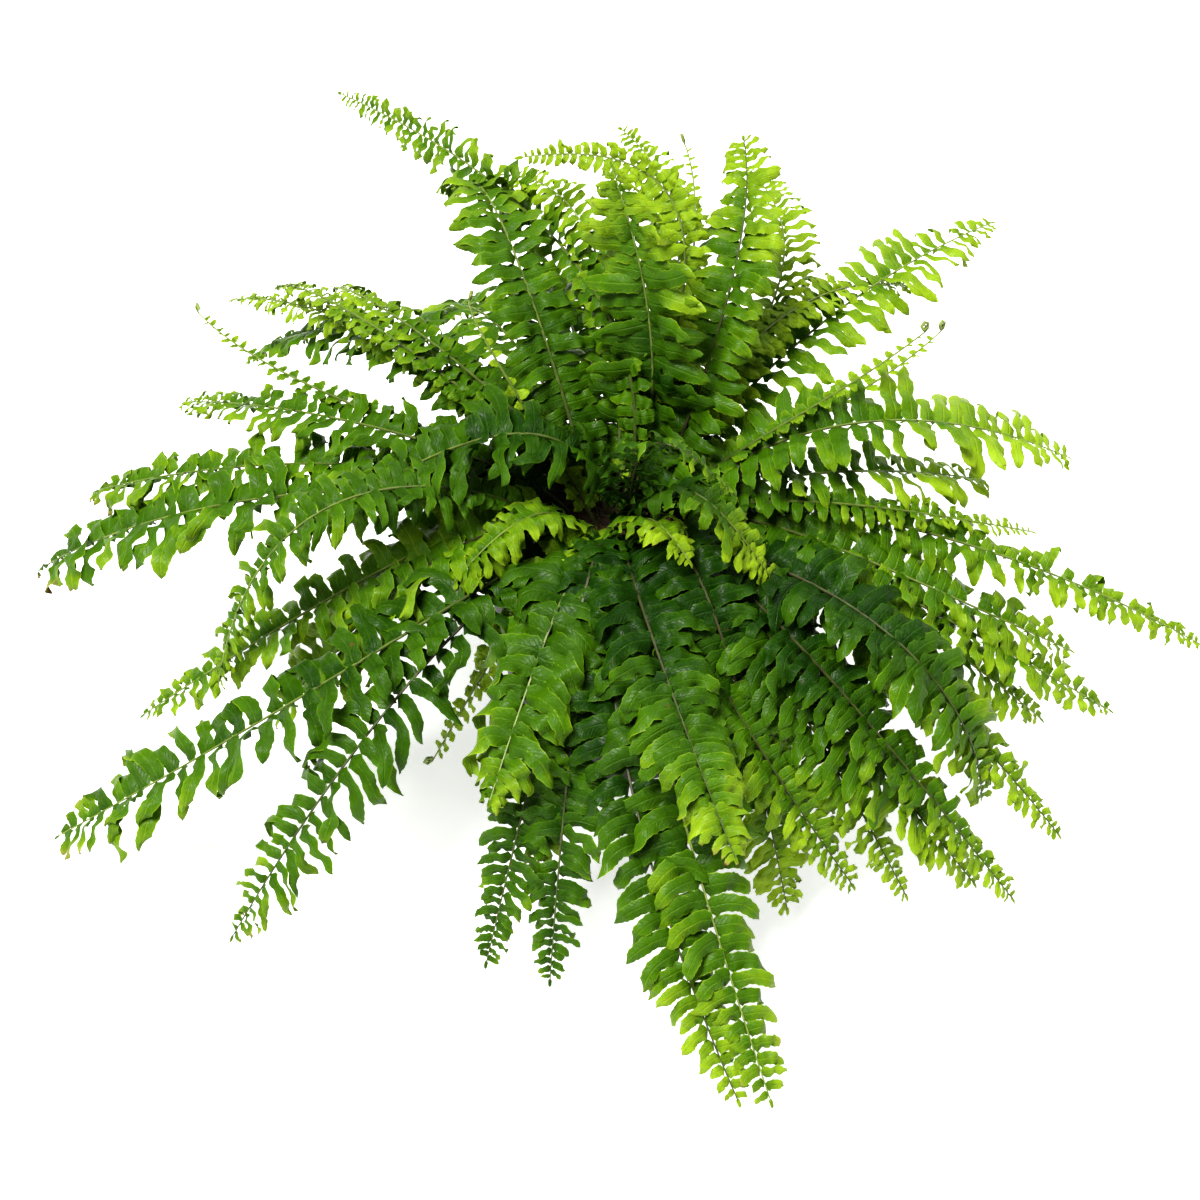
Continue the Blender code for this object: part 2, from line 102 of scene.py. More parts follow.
def makeLights():
    for name in ("key", "back"):
        spec = lightSet[name]
        data = bpy.data.lights.new(name, "SUN")  # a wide sun is an even softbox over the whole floor
        data.angle = math.radians(spec["spread"])
        data.energy = spec["strength"]
        data.color = spec["tint"]
        light = addObject(name, data)
        light.location = 2 * Vector(spec["from"])
        aimAt(light, (0, 0, 0))
    world = bpy.data.worlds.new("studio")
    world.use_nodes = True
    sky = world.node_tree.nodes["Background"]
    sky.inputs["Color"].default_value = (*lightSet["sky"]["tint"], 1)
    sky.inputs["Strength"].default_value = lightSet["sky"]["strength"]
    bpy.context.scene.world = world
    bpy.context.scene.view_settings.view_transform = "Standard"
    bpy.context.scene.view_settings.look = "Medium High Contrast"


# Small helpers for node trees

def startMaterial(name):
    made = bpy.data.materials.new(name)
    made.use_nodes = True
    return made, made.node_tree, made.node_tree.nodes["Principled BSDF"]


def feed(tree, socket, value):
    if isinstance(value, bpy.types.NodeSocket):
        tree.links.new(value, socket)
    else:
        socket.default_value = value


def calc(tree, operation, *values, clamp=False):
    node = tree.nodes.new("ShaderNodeMath")
    node.operation = operation
    node.use_clamp = clamp
    for socket, value in zip(node.inputs, values):
        feed(tree, socket, value)
    return node.outputs[0]


def addShare(tree, total, value, share, clamp=False):  # the total with a share of the value on top
    return calc(tree, "ADD", total, calc(tree, "MULTIPLY", value, share), clamp=clamp)


def centred(tree, value):
    return calc(tree, "SUBTRACT", value, 0.5)


def remap(tree, value, low, high, newLow=0.0, newHigh=1.0):
    node = tree.nodes.new("ShaderNodeMapRange")
    node.interpolation_type = "SMOOTHSTEP"
    feed(tree, node.inputs["Value"], value)
    for name, number in (("From Min", low), ("From Max", high), ("To Min", newLow), ("To Max", newHigh)):
        node.inputs[name].default_value = number
    return node.outputs["Result"]


def blendColour(tree, factor, first, second):
    node = tree.nodes.new("ShaderNodeMix")
    node.data_type = "RGBA"
    feed(tree, node.inputs["Factor"], factor)
    for name, colour in (("A", first), ("B", second)):
        feed(tree, node.inputs[name], colour if isinstance(colour, bpy.types.NodeSocket) else (*colour, 1))
    return node.outputs["Result"]


def objectPlace(tree):
    return tree.nodes.new("ShaderNodeTexCoord").outputs["Object"]


def addNoise(tree, scale, detail=3.0, roughness=0.5, vector=None):
    node = tree.nodes.new("ShaderNodeTexNoise")
    node.inputs["Scale"].default_value = scale
    node.inputs["Detail"].default_value = detail
    node.inputs["Roughness"].default_value = roughness
    tree.links.new(vector or objectPlace(tree), node.inputs["Vector"])
    return node.outputs["Fac"]


def addRamp(tree, value, stops):
    node = tree.nodes.new("ShaderNodeValToRGB")
    ramp = node.color_ramp
    while len(ramp.elements) < len(stops):
        ramp.elements.new(0.5)
    for element, (place, colour) in zip(ramp.elements, stops):
        element.position = place
        element.color = (*colour, 1)
    feed(tree, node.inputs["Fac"], value)
    return node.outputs["Color"]


def addBump(tree, shader, height, depth, strength=1.0):
    node = tree.nodes.new("ShaderNodeBump")
    node.inputs["Strength"].default_value = strength
    node.inputs["Distance"].default_value = depth
    tree.links.new(height, node.inputs["Height"])
    tree.links.new(node.outputs["Normal"], shader.inputs["Normal"])
    return node.outputs["Normal"]


def setSurface(tree, shader, colour, roughness):
    feed(tree, shader.inputs["Base Color"], colour)
    feed(tree, shader.inputs["Roughness"], roughness)


def readLook(tree):  # tone and dryness, painted on every frond as the attribute leafLook; the tone holds painted light and shade as well as the leaves' own colour
    look = tree.nodes.new("ShaderNodeAttribute")
    look.attribute_name = "leafLook"
    split = tree.nodes.new("ShaderNodeSeparateColor")
    tree.links.new(look.outputs["Color"], split.inputs["Color"])
    return split.outputs[:2]


# Leaf and stem finish

leafFinish = {
    "top": ((0.0, (0.003, 0.015, 0.001)), (0.30, (0.013, 0.055, 0.001)), (0.65, (0.070, 0.175, 0.002)),
            (1.0, (0.320, 0.480, 0.016))),
    "under": ((0.0, (0.006, 0.024, 0.002)), (0.30, (0.022, 0.072, 0.004)), (0.65, (0.077, 0.188, 0.008)),
              (1.0, (0.242, 0.400, 0.026))),
    "through": ((0.0, (0.007, 0.045, 0.001)), (0.30, (0.040, 0.135, 0.001)), (0.65, (0.160, 0.350, 0.003)),
                (1.0, (0.450, 0.620, 0.020))),
    "dry": (0.150, 0.070, 0.022), "withered": (0.45, 0.36, 0.10), "veins": 15, "veinSlant": 2.2,
    "letThrough": 0.20, "shine": 0.18, "broadScale": 75, "fineScale": 620, "spotScale": 210,
    "crumpleScale": 170,
    "midribEdges": (0.03, 0.13),  # from the middle line, in half widths
    "marginEdges": (0.86, 1.0),
    "veinEdges": (0.36, 0.5),  # from the middle between two veins, in vein gaps
    "spotEdges": (0.735, 0.79, 0.0, 0.75), "patches": 0.5, "brownEdges": (0.45, 0.75),
    "yellowEdges": (0.20, 0.50, 0.0, 0.7),
    "broadShift": 0.34,  # how far each pattern moves the tone
    "fineShift": 0.16, "marginLightShift": 0.22,
    "broadRise": 3.4,  # and how far it stands up, in depths of the bump
    "crumpleRise": 1.4, "fineRise": 0.3, "bump": (0.00050, 0.9), "roughRange": 0.14,
    "brownRoughness": 0.3,
}
leafSides = {
    "leafUpper": {"ramp": "top", "roughness": 0.31, "midribShift": 0.07, "veinShift": 0.03,
                  "midribRise": -0.7, "veinRise": -0.35},
    "leafUnder": {"ramp": "under", "roughness": 0.55, "midribShift": 0.25, "veinShift": 0.08,
                  "midribRise": 1.3, "veinRise": 0.35},
}


def leafPattern(tree):  # masks of the midrib, the side veins and the margin
    spec = leafFinish
    uvMap = tree.nodes.new("ShaderNodeUVMap")
    uvMap.uv_map = "UVMap"
    uv = tree.nodes.new("ShaderNodeSeparateXYZ")
    tree.links.new(uvMap.outputs["UV"], uv.inputs["Vector"])
    across = calc(tree, "FRACT", calc(tree, "MULTIPLY", uv.outputs["Y"], 2.0))
    fromRib = calc(tree, "ABSOLUTE", calc(tree, "SUBTRACT", calc(tree, "MULTIPLY", across, 2.0), 1.0))
    slanted = calc(tree, "SUBTRACT", calc(tree, "MULTIPLY", uv.outputs["X"], spec["veins"]),
                   calc(tree, "MULTIPLY", fromRib, spec["veinSlant"]))
    fromGap = calc(tree, "ABSOLUTE", centred(tree, calc(tree, "FRACT", slanted)))
    midrib = remap(tree, fromRib, *spec["midribEdges"], 1.0, 0.0)
    vein = remap(tree, fromGap, *spec["veinEdges"])
    return midrib, vein, remap(tree, fromRib, *spec["marginEdges"])


def makeLeafMaterial(name):
    spec = leafFinish | leafSides[name]
    made, tree, shader = startMaterial(name)
    tone, dryness = readLook(tree)
    midrib, vein, margin = leafPattern(tree)
    broad = addNoise(tree, spec["broadScale"], 3)
    fine = addNoise(tree, spec["fineScale"], 4, 0.6)

    shade = addShare(tree, tone, centred(tree, broad), spec["broadShift"])
    shade = addShare(tree, shade, centred(tree, fine), spec["fineShift"])
    # painted light: the thin margins drawn lighter, as lit and with light shining through
    shade = addShare(tree, shade, margin, spec["marginLightShift"])
    shade = addShare(tree, shade, midrib, spec["midribShift"])
    shade = addShare(tree, shade, vein, spec["veinShift"], clamp=True)

    patchy = addShare(tree, dryness, centred(tree, broad), spec["patches"])
    yellowed = remap(tree, patchy, *spec["yellowEdges"])
    spots = remap(tree, addNoise(tree, spec["spotScale"], 2, 0.5), *spec["spotEdges"])
    brown = calc(tree, "MAXIMUM", remap(tree, patchy, *spec["brownEdges"]), spots, clamp=True)
    colour = blendColour(tree, yellowed, addRamp(tree, shade, spec[spec["ramp"]]), spec["withered"])
    colour = blendColour(tree, brown, colour, spec["dry"])
    rough = remap(tree, fine, 0.3, 0.7, spec["roughness"], spec["roughness"] + spec["roughRange"])
    setSurface(tree, shader, colour, addShare(tree, rough, brown, spec["brownRoughness"]))
    shader.inputs["Specular IOR Level"].default_value = spec["shine"]
    height = calc(tree, "MULTIPLY", midrib, spec["midribRise"])
    height = addShare(tree, height, vein, spec["veinRise"])
    height = addShare(tree, height, broad, spec["broadRise"])
    height = addShare(tree, height, addNoise(tree, spec["crumpleScale"], 2), spec["crumpleRise"])
    height = addShare(tree, height, fine, spec["fineRise"])
    normal = addBump(tree, shader, height, *spec["bump"])

    through = tree.nodes.new("ShaderNodeBsdfTranslucent")
    glow = blendColour(tree, brown, addRamp(tree, shade, spec["through"]), spec["dry"])
    tree.links.new(glow, through.inputs["Color"])
    tree.links.new(normal, through.inputs["Normal"])
    mixed = tree.nodes.new("ShaderNodeMixShader")
    mixed.inputs["Fac"].default_value = spec["letThrough"]
    tree.links.new(shader.outputs["BSDF"], mixed.inputs[1])
    tree.links.new(through.outputs["BSDF"], mixed.inputs[2])
    tree.links.new(mixed.outputs[0], tree.nodes["Material Output"].inputs["Surface"])
    return made


stemFinish = {
    "ramp": ((0.0, (0.014, 0.009, 0.005)), (0.3, (0.042, 0.040, 0.012)), (0.6, (0.080, 0.115, 0.020)),
             (1.0, (0.230, 0.300, 0.055))),
    "broadScale": 160, "broadShift": (-0.175, 0.175), "fineScale": 1500, "fineShift": (-0.1, 0.1),
    "roughness": 0.48, "bump": (0.0002, 0.5),
}


def makeStemMaterial():
    spec = stemFinish
    made, tree, shader = startMaterial("stemGreen")
    tone, _ = readLook(tree)
    broad = addNoise(tree, spec["broadScale"], 3)
    fine = addNoise(tree, spec["fineScale"], 4, 0.6)
    shade = calc(tree, "ADD", tone, remap(tree, broad, 0.0, 1.0, *spec["broadShift"]))
    shade = calc(tree, "ADD", shade, remap(tree, fine, 0.0, 1.0, *spec["fineShift"]), clamp=True)
    setSurface(tree, shader, addRamp(tree, shade, spec["ramp"]), spec["roughness"])
    addBump(tree, shader, fine, *spec["bump"])
    return made


def makeEarthMaterial(name, spec):
    made, tree, shader = startMaterial(name)
    broad = addNoise(tree, spec["broadScale"], 6, 0.6)
    fine = addNoise(tree, spec["fineScale"], 5, 0.65)
    shade = calc(tree, "MULTIPLY_ADD", fine, 0.5, calc(tree, "MULTIPLY", broad, 0.5))
    setSurface(tree, shader, addRamp(tree, shade, spec["ramp"]), remap(tree, fine, 0.3, 0.7, 0.8, 1.0))
    addBump(tree, shader, shade, spec["bump"])
    return made


potFinish = {
    "plastic": ((0.017, 0.018, 0.019), (0.026, 0.027, 0.027)), "scuffed": (0.085, 0.085, 0.083),
    "dusty": (0.095, 0.078, 0.060), "broadScale": 26, "grainScale": 1400, "scuffScale": 2.2,
    "scuffStretch": (18, 18, 420),  # scuffs run round the pot
    "scuffEdges": (0.60, 0.72), "scuffStrength": 0.22, "dustTop": 0.045, "dustEdges": (0.42, 0.66),
    "dustStrength": 0.45, "roughness": (0.40, 0.52), "dustRoughness": 0.3, "scuffRoughness": 0.12,
    "bump": (0.00008, 0.6),
}


def makePotMaterial():
    spec = potFinish
    made, tree, shader = startMaterial("potPlastic")
    broad = addNoise(tree, spec["broadScale"], 4)
    grain = addNoise(tree, spec["grainScale"], 3)
    stretch = tree.nodes.new("ShaderNodeMapping")
    stretch.inputs["Scale"].default_value = spec["scuffStretch"]
    tree.links.new(objectPlace(tree), stretch.inputs["Vector"])
    scuff = addNoise(tree, spec["scuffScale"], 6, 0.7, stretch.outputs["Vector"])
    scuff = remap(tree, scuff, *spec["scuffEdges"])
    place = tree.nodes.new("ShaderNodeSeparateXYZ")
    tree.links.new(objectPlace(tree), place.inputs["Vector"])
    low = remap(tree, place.outputs["Z"], 0.0, spec["dustTop"], 1.0, 0.0)
    dust = calc(tree, "MULTIPLY", low, remap(tree, broad, *spec["dustEdges"]))
    colour = blendColour(tree, remap(tree, broad, 0.35, 0.65), *spec["plastic"])
    scuffed = calc(tree, "MULTIPLY", scuff, spec["scuffStrength"])
    colour = blendColour(tree, scuffed, colour, spec["scuffed"])
    dusted = calc(tree, "MULTIPLY", dust, spec["dustStrength"])
    colour = blendColour(tree, dusted, colour, spec["dusty"])
    rough = addShare(tree, remap(tree, broad, 0.3, 0.7, *spec["roughness"]), dust, spec["dustRoughness"])
    setSurface(tree, shader, colour, addShare(tree, rough, scuff, spec["scuffRoughness"]))
    addBump(tree, shader, calc(tree, "ADD", grain, scuff), *spec["bump"])
    return made


def makeFloor():
    spec = floorSet
    made, tree, shader = startMaterial("paleFloor")
    speckles = remap(tree, addNoise(tree, spec["speckleScale"], 3), 0.3, 0.7)
    colour = blendColour(tree, speckles, spec["colour"], spec["speckle"])
    setSurface(tree, shader, colour, spec["roughness"])
    # painted light: the floor glows, which pales the shadows on it
    shader.inputs["Emission Color"].default_value = (1, 1, 1, 1)
    shader.inputs["Emission Strength"].default_value = spec["glow"]
    bm = bmesh.new()
    bmesh.ops.create_circle(bm, cap_ends=True, segments=spec["sides"], radius=spec["radius"])
    floor = finish("floor", bm, [made])


def finish(name, bm, materials, sharpAngle=55):
    mesh = bpy.data.meshes.new(name)
    bm.to_mesh(mesh)
    bm.free()
    for material in materials:
        mesh.materials.append(material)
    mesh.shade_smooth()
    mesh.set_sharp_from_angle(angle=math.radians(sharpAngle))
    return addObject(name, mesh)


# Fronds: heading in degrees from +X, then in millimetres the reach and height of the tip, the arch's place
# along the reach in per cent, its height over the crown, its sway to the left and the longest leaflets'
# length, then the leaf tone in the middle and at the tip (0 dark, 1 yellow-green), how far leaflets curl and
# how wavy they are. The tones are partly the leaves' own colour and partly painted light and shade: fronds
# low down or under others are darker, and lit ends lighter.

Frond = namedtuple("Frond", "heading reach height lean arch sway leaflet tone tipTone curl ruffle")
frondRows = {
    "back": (
        (121, 375, 280, 0, 180, -60, 26, 0.52, 0.66, 0.9, 1.0),
        (115, 150, 350, 50, 215, -170, 22, 0.76, 0.94, 1.0, 1.2),
        (116, 235, 275, 55, 225, 20, 38, 0.42, 0.71, 0.9, 1.0),
        (113, 200, 305, 50, 185, -55, 22, 0.50, 0.95, 0.8, 1.0),
        (96, 65, 390, 50, 100, -35, 42, 0.32, 0.78, 0.6, 0.9),
        (90, 230, 310, 50, 145, -75, 26, 0.65, 0.75, 0.8, 1.0),
        (78, 195, 325, 50, 160, -35, 14, 0.95, 0.99, 0.5, 0.6),
        (64, 175, 350, 50, 170, -45, 36, 0.43, 0.83, 0.7, 1.0),
        (72, 280, 255, 50, 115, -115, 30, 0.72, 0.84, 0.6, 0.8),
        (136, 135, 270, 60, 135, 40, 14, 0.84, 0.82, 0.5, 0.6),
        (70, 300, 105, 50, 85, 30, 40, 0.42, 0.62, 0.7, 1.0),
        (98, 310, 105, 55, 130, 30, 42, 0.50, 0.60, 0.7, 1.0),
        (117, 285, 130, 55, 120, 20, 40, 0.50, 0.65, 0.7, 1.0),
    ),
    "right": (
        (41, 330, 245, 47, 105, 0, 42, 0.57, 0.82, 0.6, 0.8),
        (42, 285, 205, 45, 150, 15, 22, 0.72, 0.97, 0.8, 1.0),
        (18, 200, 270, 55, 90, -35, 18, 0.56, 0.92, 0.5, 0.6),
        (28, 235, 235, 55, 60, -35, 18, 0.64, 0.99, 0.5, 0.6),
        (8, 290, 185, 45, 120, -5, 42, 0.50, 0.94, 0.5, 0.6),
        (9, 235, 170, 55, 70, -40, 40, 0.46, 0.97, 0.7, 0.9),
        (-2, 260, 165, 45, 65, -40, 20, 0.43, 0.99, 0.7, 0.8),
        (-8, 375, 105, 60, 50, -30, 30, 0.56, 0.80, 1.1, 1.5),
        (-13, 290, 115, 50, 45, -50, 40, 0.47, 0.74, 1.0, 1.2),
        (-16, 320, 85, 50, 40, -50, 29, 0.56, 0.71, 1.0, 1.2),
        (-20, 280, 85, 55, 40, -35, 30, 0.46, 0.71, 1.0, 1.1),
        (-35, 270, 75, 95, 65, -10, 43, 0.17, 0.70, 0.8, 1.0),
        (-31, 315, 50, 50, 40, -15, 33, 0.52, 0.78, 1.0, 1.2),
        (-41, 315, 40, 50, 60, -50, 33, 0.21, 0.80, 0.9, 1.1),
        (-42, 290, 40, 55, 40, -50, 42, 0.30, 0.80, 0.8, 1.0),
        (-49, 265, 35, 55, 55, -30, 34, 0.27, 0.85, 0.9, 1.0),
        (-55, 245, 45, 60, 42, -60, 36, 0.44, 0.75, 0.9, 1.1),
    ),
    "front": (
        (-64, 230, 30, 50, 108, -8, 40, 0.22, 0.87, 0.9, 1.0),
        (-76, 265, 130, 30, 64, -26, 42, 0.17, 0.78, 1.0, 1.1),
        (-76, 353, 15, 38, 42, -38, 46, 0.33, 0.68, 0.85, 1.0),
        (-79, 348, 14, 44, 22, -61, 42, 0.19, 0.84, 0.85, 1.0),
        (-100, 255, 15, 57, 45, 0, 36, 0.33, 0.35, 0.9, 1.0),
        (-109, 255, 20, 54, 49, 19, 34, 0.35, 0.39, 0.85, 1.0),
        (-111, 221, 125, 43, 62, 6, 50, 0.36, 0.64, 1.2, 1.7),
        (-105, 212, 54, 49, 94, 9, 30, 0.26, 0.80, 1.1, 1.35),
        (-134, 170, 75, 50, 75, 40, 26, 0.70, 0.86, 0.7, 0.9),
    ),
    "left": (
        (-136, 330, 30, 60, 50, 30, 49, 0.29, 0.58, 1.0, 1.6),
        (-156, 385, 42, 36, 60, 94, 49, 0.31, 0.53, 0.8, 1.4),
        (-163, 315, 85, 40, 52, 34, 38, 0.54, 0.58, 0.8, 1.2),
        (-158, 235, 80, 48, 72, 20, 53, 0.62, 0.66, 0.6, 1.1),
        (-158, 270, 120, 80, 165, -10, 35, 0.41, 0.65, 1.1, 1.4),
        (175, 380, 100, 60, 70, 38, 48, 0.46, 0.46, 0.9, 1.45),
        (168, 355, 130, 53, 60, 25, 38, 0.55, 0.57, 0.9, 1.3),
        (156, 320, 160, 55, 85, 55, 34, 0.42, 0.70, 0.7, 1.3),
        (150, 325, 210, 60, 60, 60, 17, 0.46, 0.73, 0.5, 0.6),
        (140, 350, 175, 53, 110, 20, 22, 0.59, 0.97, 1.1, 1.3),
        (137, 320, 190, 58, 145, 70, 16, 0.55, 0.97, 1.1, 1.3),
        (135, 270, 210, 57, 130, 55, 24, 0.44, 0.97, 1.1, 1.3),
        (138, 345, 120, 55, 115, 5, 41, 0.42, 0.44, 0.7, 0.9),
        (-175, 200, 172, 15, 148, 5, 50, 0.27, 0.58, 1.0, 1.3),
    ),
    "inner": (
        (-140, 135, 190, 55, 85, 15, 26, 0.60, 0.62, 1.0, 1.1),
        (-68, 105, 218, 55, 85, -15, 25, 0.44, 0.88, 0.9, 1.0),
        (-44, 125, 195, 50, 130, -30, 31, 0.20, 1.00, 1.1, 1.2),
        (-53, 110, 260, 60, 200, -60, 24, 0.19, 0.62, 0.9, 1.0),
    ),
}
fronds = {f"{side}_{number}": Frond(*row) for side, rows in frondRows.items()
          for number, row in enumerate(rows, 1)}
youngFronds = "back_7 back_10 right_3 right_4 left_9 front_9".split()
fullFronds = "left_2 left_6 left_7".split()
bluntFronds = (
    "right_5 right_6 right_9 right_10 right_11 right_12 back_3 back_4 back_5 back_8 front_1 front_2 "
    "front_7 front_8 inner_1 inner_2 inner_3"
).split()
# stems drawn darker: partly their own darker colour, partly painted shade where they lie low or under other
# fronds
darkShadedStems = (
    "back_8 front_1 front_2 front_4 front_5 front_6 front_8 left_1 left_4 right_12 right_13 right_14 "
    "right_15 right_16 right_17 inner_4"
).split()
slimFronds = {
    "left_1": 0.70, "left_2": 0.85, "left_5": 0.78, "left_14": 0.74, "right_1": 0.86, "right_5": 0.95,
    "right_6": 0.86, "right_7": 0.90,
}
openFronds = {
    "front_3": 1.30, "front_4": 1.25, "left_1": 1.10, "left_2": 1.35, "left_3": 1.20, "left_6": 1.25,
    "left_7": 1.15, "right_5": 1.15, "right_6": 1.15, "right_9": 1.20, "right_10": 1.25,
    "right_11": 1.25, "inner_1": 0.88, "inner_2": 0.88, "left_14": 0.82, "left_5": 0.92, "right_1": 1.12,
    "inner_3": 0.82, "back_1": 1.15, "front_7": 1.18,
}
dryTips = {
    "back_6": 0.8, "front_2": 0.9, "front_7": 0.5, "left_1": 0.6, "left_6": 0.8, "left_7": 0.7,
    "right_1": 0.35, "right_10": 0.5, "front_3": 0.35, "left_2": 0.8, "back_1": 0.2,
}

frondSet = {
    "seed": 700,
    "rings": ((2, 0.006), (9, 0.0155), (13, 0.025), (16, 0.0345), (17, 0.044)),  # stalks and radius of each
    "ringFill": 0.98, "ringRounds": 200, "stalkSpacing": 0.0085, "stalkDepth": 0.008,
    "stalkSpring": 0.050, "stalkSlope": math.radians(62), "stalkRadius": 0.0013, "tipRadius": 0.0004,
    "stalkSides": 8,
    "stalkSteps": (44, 68),  # on a grown and on a young frond, as with leafyEnd and closing
    "groove": 0.22,  # on the stalk's upper side, as a share of its radius
    "grooveCurve": 6,
    "stemTones": {False: (0.32, 0.95), True: (0.16, 0.52)},  # darker stems (partly painted shade) or not: at the crown and at the tip
    "stemToneCurve": 0.7, "bareStalk": 0.085, "ribSteps": 60, "skyTurn": 0.5, "curlRadius": 0.0036,
    "curlTurns": 1.5, "curlSteps": 20, "curlTighten": 0.62,
    "curlThicken": (0.9, 1.6),  # how fast a rolled tip grows thick, and at most
    "pitch": 0.0052, "pitchPerLength": 0.120, "youngPitch": 0.0105,
    "firstLeaflet": 0.3,  # in pitches
    "leafyEnd": (0.995, 0.97), "sweep": (math.radians(-6), math.radians(9)), "sweepCurve": 1.5,
    "closing": (0.50, 0.30),  # how far the pitch falls towards the tip
    "closingCurve": 2.8,
    "bluntness": (2.3, 4.0, 7.0),  # how late the leaflets shorten towards the tip: plain, blunt, full
    "weld": 1e-7,
}
crownSet = {
    "radius": 0.050, "rise": 0.010, "ground": 0.155, "sink": 0.0145, "gap": 0.0003, "rings": 20,
    "sides": 84, "bump": 0.0016,
    "lumps": (95, 0.9, 2.0, 3),  # scale of the noise, then its dimension, lacunarity and octaves
    "seed": 57,
    "stub": {
        "count": 26, "sides": 8, "ring": (0.008, 0.047), "sink": 0.002, "height": (0.005, 0.013),
        "low": (0.0014, 0.0020),  # radius at the lower and at the upper end
        "high": (0.0008, 0.0012), "lean": (0.1, 0.6),
    },
    "scale": {
        "count": 620, "sides": 4, "ring": 0.049, "sink": 0.0008, "height": (0.003, 0.009),
        "low": (0.0004, 0.0009), "high": 0.00005, "lean": (0.2, 1.2), "flatness": 0.35,
    },
    "finish": {
        "ramp": ((0.28, (0.010, 0.006, 0.003)), (0.46, (0.038, 0.021, 0.010)),
                 (0.60, (0.085, 0.048, 0.022)), (0.80, (0.165, 0.100, 0.048))),
        "broadScale": 210, "fineScale": 1470, "bump": 0.0009,
    },
}


def crownHeight(radius):
    return crownSet["ground"] + crownSet["rise"] * (1 - (radius / crownSet["radius"]) ** 2)


def stalkPlaces():
    spec = frondSet
    order = sorted(fronds, key=lambda name: fronds[name].reach * fronds[name].lean / fronds[name].arch)
    places = {}
    for count, radius in spec["rings"]:
        members = sorted(order[:count], key=lambda name: fronds[name].heading)
        order = order[count:]
        angles = [math.radians(fronds[name].heading) for name in members]
        gap = min(spec["stalkSpacing"] / radius, spec["ringFill"] * math.tau / count)
        for _ in range(spec["ringRounds"]):
            for first in range(count):
                after = (first + 1) % count
                lack = gap - (angles[after] + (math.tau if after == 0 else 0) - angles[first])
                if lack > 0:
                    angles[first] -= lack / 2
                    angles[after] += lack / 2
        for name, angle in zip(members, angles):
            places[name] = polar(radius, angle, crownHeight(radius))
    return places


class Rib:  # a frond's rib, read at any distance from the crown

    def __init__(self, frond, base, coiled):
        angle = math.radians(frond.heading)
        tip = polar(frond.reach, angle, frond.height) / 1000
        out = Vector((tip.x - base.x, tip.y - base.y, 0))
        left = Vector((-out.y, out.x, 0)).normalized()
        peak = base + frond.lean / 100 * out + frond.sway / 1000 * left + frond.arch / 1000 * up
        flat = Vector((peak.x - base.x, peak.y - base.y, 0))
        slope = max(frondSet["stalkSlope"], math.atan2(frond.arch / 1000, flat.length))
        self.aim = turned(flat.normalized(), up, slope)
        spring = base + frondSet["stalkSpring"] * self.aim
        self.points = []
        for step in range(frondSet["ribSteps"] + 1):
            t = step / frondSet["ribSteps"]
            u = 1 - t
            self.points.append(u**3 * base + 3 * t * u**2 * spring + 3 * t**2 * u * peak + t**3 * tip)
        self.setFrames(flat.normalized().cross(up))
        leafySteps = len(self.points) - 1
        if coiled:
            self.addCoil()
        self.marks = [0.0]
        for before, after in zip(self.points, self.points[1:]):
            self.marks.append(self.marks[-1] + (after - before).length)
        self.length = self.marks[-1]
        self.leafy = self.marks[leafySteps]

    def setFrames(self, side):  # direction, width and face at each point, turned partly to the sky
        self.frames = []
        count = len(self.points)
        for step in range(count):
            ahead = (self.points[min(step + 1, count - 1)] - self.points[max(step - 1, 0)]).normalized()
            side = (side - side.dot(ahead) * ahead).normalized()
            sky = up - ahead.z * ahead
            face = (side.cross(ahead) + frondSet["skyTurn"] * step / count * sky).normalized()
            self.frames.append((ahead, ahead.cross(face), face))

    def addCoil(self):  # a young tip rolls towards its upper face
        spec = frondSet
        ahead, side, face = self.frames[-1]
        centre = self.points[-1] + spec["curlRadius"] * face
        for step in range(1, spec["curlSteps"] + 1):
            share = step / spec["curlSteps"]
            angle = math.tau * spec["curlTurns"] * share
            radius = spec["curlRadius"] * (1 - spec["curlTighten"] * share)
            self.points.append(centre + radius * turned(-face, ahead, angle))
            onward = turned(ahead, face, angle)
            self.frames.append((onward, side, side.cross(onward)))

    def at(self, distance):
        distance = min(max(distance, 0), self.length)
        after = 1
        while self.marks[after] < distance and after < len(self.marks) - 1:
            after += 1
        share = (distance - self.marks[after - 1]) / (self.marks[after] - self.marks[after - 1])
        point = self.points[after - 1].lerp(self.points[after], share)
        pairs = zip(self.frames[after - 1], self.frames[after])
        return point, [first.lerp(second, share).normalized() for first, second in pairs]

    def radius(self, distance):
        thick, thin = frondSet["stalkRadius"], frondSet["tipRadius"]
        return thick + (thin - thick) * distance / self.length


# Leaflets

leafletSet = {
    "thick": 0.0003,
    "grids": ((0.007, 6, 4), (0.015, 10, 4), (1.0, 16, 6)),  # up to this length: rows and columns
    "rowCurve": 1.3,  # rows lie closer together near a blade's end
    "widthShare": (1.02, 0.88),  # of the pitch, near the crown and at the tip
    "stalk": 0.66,  # width at the root, as a share of the full width
    "rootLength": 0.07, "rootCurve": 0.6,
    "narrowFrom": (0.80, -0.62),  # on a pointed blade, and the change up to a round one
    "narrowCurves": (2.4, 0.55), "taper": (1.06, -0.22), "narrowest": 0.10,
    "ear": 0.22,  # the lobe over the rib
    "earPlace": 0.10, "earSpread": 0.07, "tooth": 0.05,
    "corner": 0.03,  # how far the end's upper corner leads
    "lift": math.radians(22),
    "tilt": math.radians(-12),  # each leaflet's edge nearer the crown stands over the other one
    "bend": math.radians(62), "hook": math.radians(30), "cup": 0.32, "wave": 0.21,
    "droop": 2.3,  # how far a limp leaflet's end turns to the ground
    "lowest": 0.002, "settle": 0.012,
}


def bladeCorner(share):  # place across the blade, from -1 to 1, and share of the thickness, once round it
    across = 4 * share - 1 if share <= 0.5 else 3 - 4 * share
    return across, (1 - across**2) * (1 if share < 0.5 else -1)


